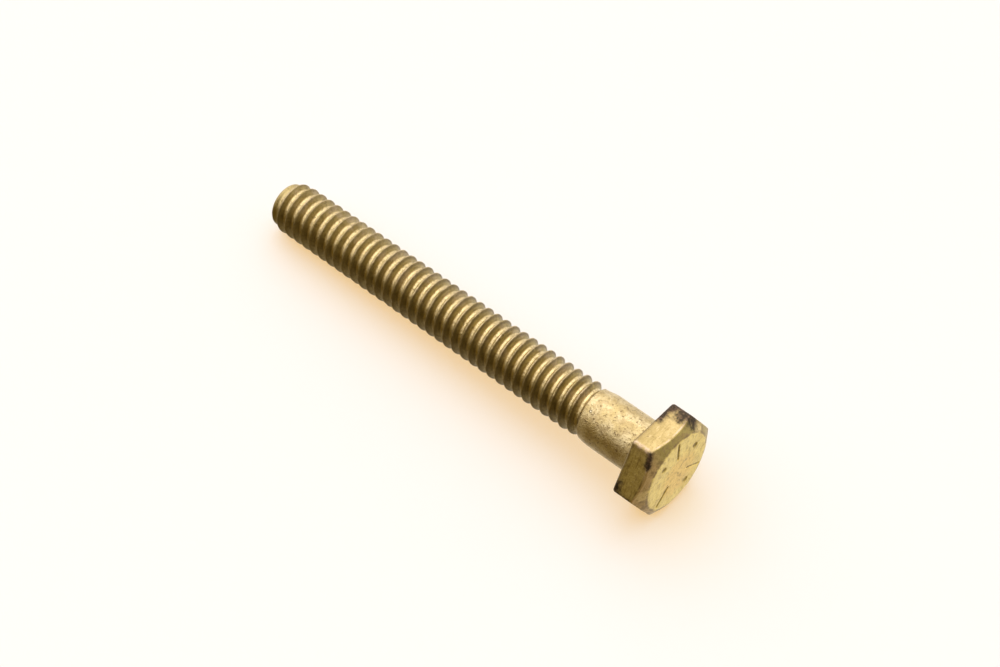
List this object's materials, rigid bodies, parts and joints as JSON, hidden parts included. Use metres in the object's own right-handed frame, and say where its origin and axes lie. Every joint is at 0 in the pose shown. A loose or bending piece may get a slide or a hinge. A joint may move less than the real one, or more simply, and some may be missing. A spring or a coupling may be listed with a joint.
{
  "type": "hex bolt",
  "caption": "Partly threaded hex bolt in yellow zinc plated steel, with a chamfered head, a short plain shank and a long rolled right-hand thread.",
  "frame": {"origin": "centre of the head's top face", "axes": "+X points out of the head's top face along the bolt's axis, so the shank and thread run towards -X; +Z is square to one of the six wrench flats"},
  "size_m": [0.0569, 0.0128, 0.011],
  "materials": {
    "head_plating": "yellow zinc plating, worn and darkened at the corners",
    "shank_plating": "yellow zinc plating, mottled with fine pits",
    "thread_plating": "yellow zinc plating, bright in the roots and browned on the crests",
    "point_plating": "yellow zinc plating, dulled and darker"
  },
  "bodies": {
    "root": {"hex_head": "head_plating", "plain_shank": "shank_plating", "thread": "thread_plating", "chamfered_point": "point_plating"}
  },
  "joints": []
}
